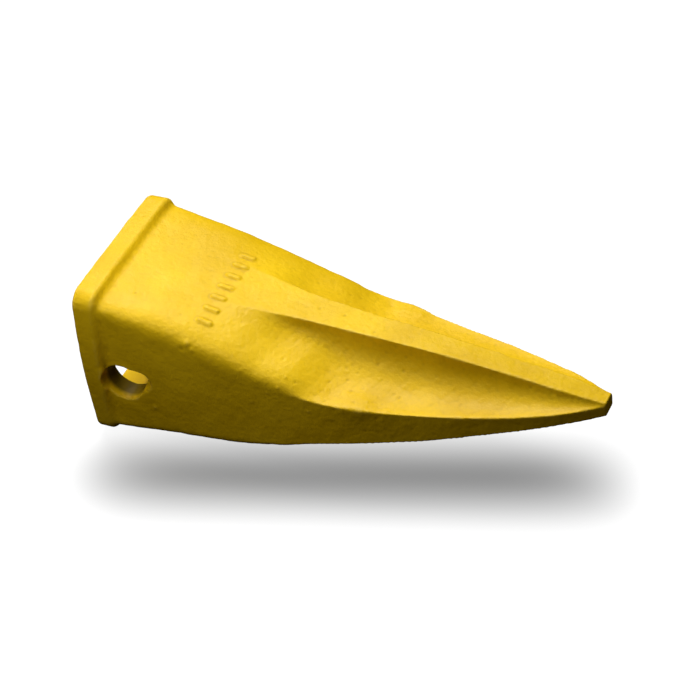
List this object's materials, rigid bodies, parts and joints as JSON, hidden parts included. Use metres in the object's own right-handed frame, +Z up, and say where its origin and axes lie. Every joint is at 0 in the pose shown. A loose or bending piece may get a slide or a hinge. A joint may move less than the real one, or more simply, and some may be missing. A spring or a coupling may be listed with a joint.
{
  "type": "excavator bucket tooth",
  "caption": "Long side-pinned bucket tooth with a collared socket, a central rib between two hollows, a narrow chisel tip, a lock pin and a split retainer ring.",
  "frame": {"origin": "centre of the rear rim, where the collar meets the adapter's shoulder", "axes": "+X forward to the chisel tip, +Z up (the ribbed, marked face), pin axis along Y"},
  "size_m": [0.29, 0.1209, 0.1002],
  "materials": {
    "yellow_paint": "semi-gloss yellow paint over a rough cast surface",
    "pin_steel": "turned and oiled steel",
    "ring_steel": "black-oxide spring steel"
  },
  "bodies": {
    "tip": {"tooth_tip": "yellow_paint"},
    "pin": {"lock_pin": "pin_steel"},
    "retainer": {"retainer_ring": "ring_steel"}
  },
  "joints": [
    {"name": "pin_slide", "type": "slide", "parent": "tip", "child": "pin", "axis": [0, 1, 0], "range_m": [-0.022, 0.08]},
    {"name": "retainer_spin", "type": "hinge", "parent": "tip", "child": "retainer", "pos_m": [0.022, 0, -0.0085], "axis": [0, 1, 0], "continuous": true}
  ]
}
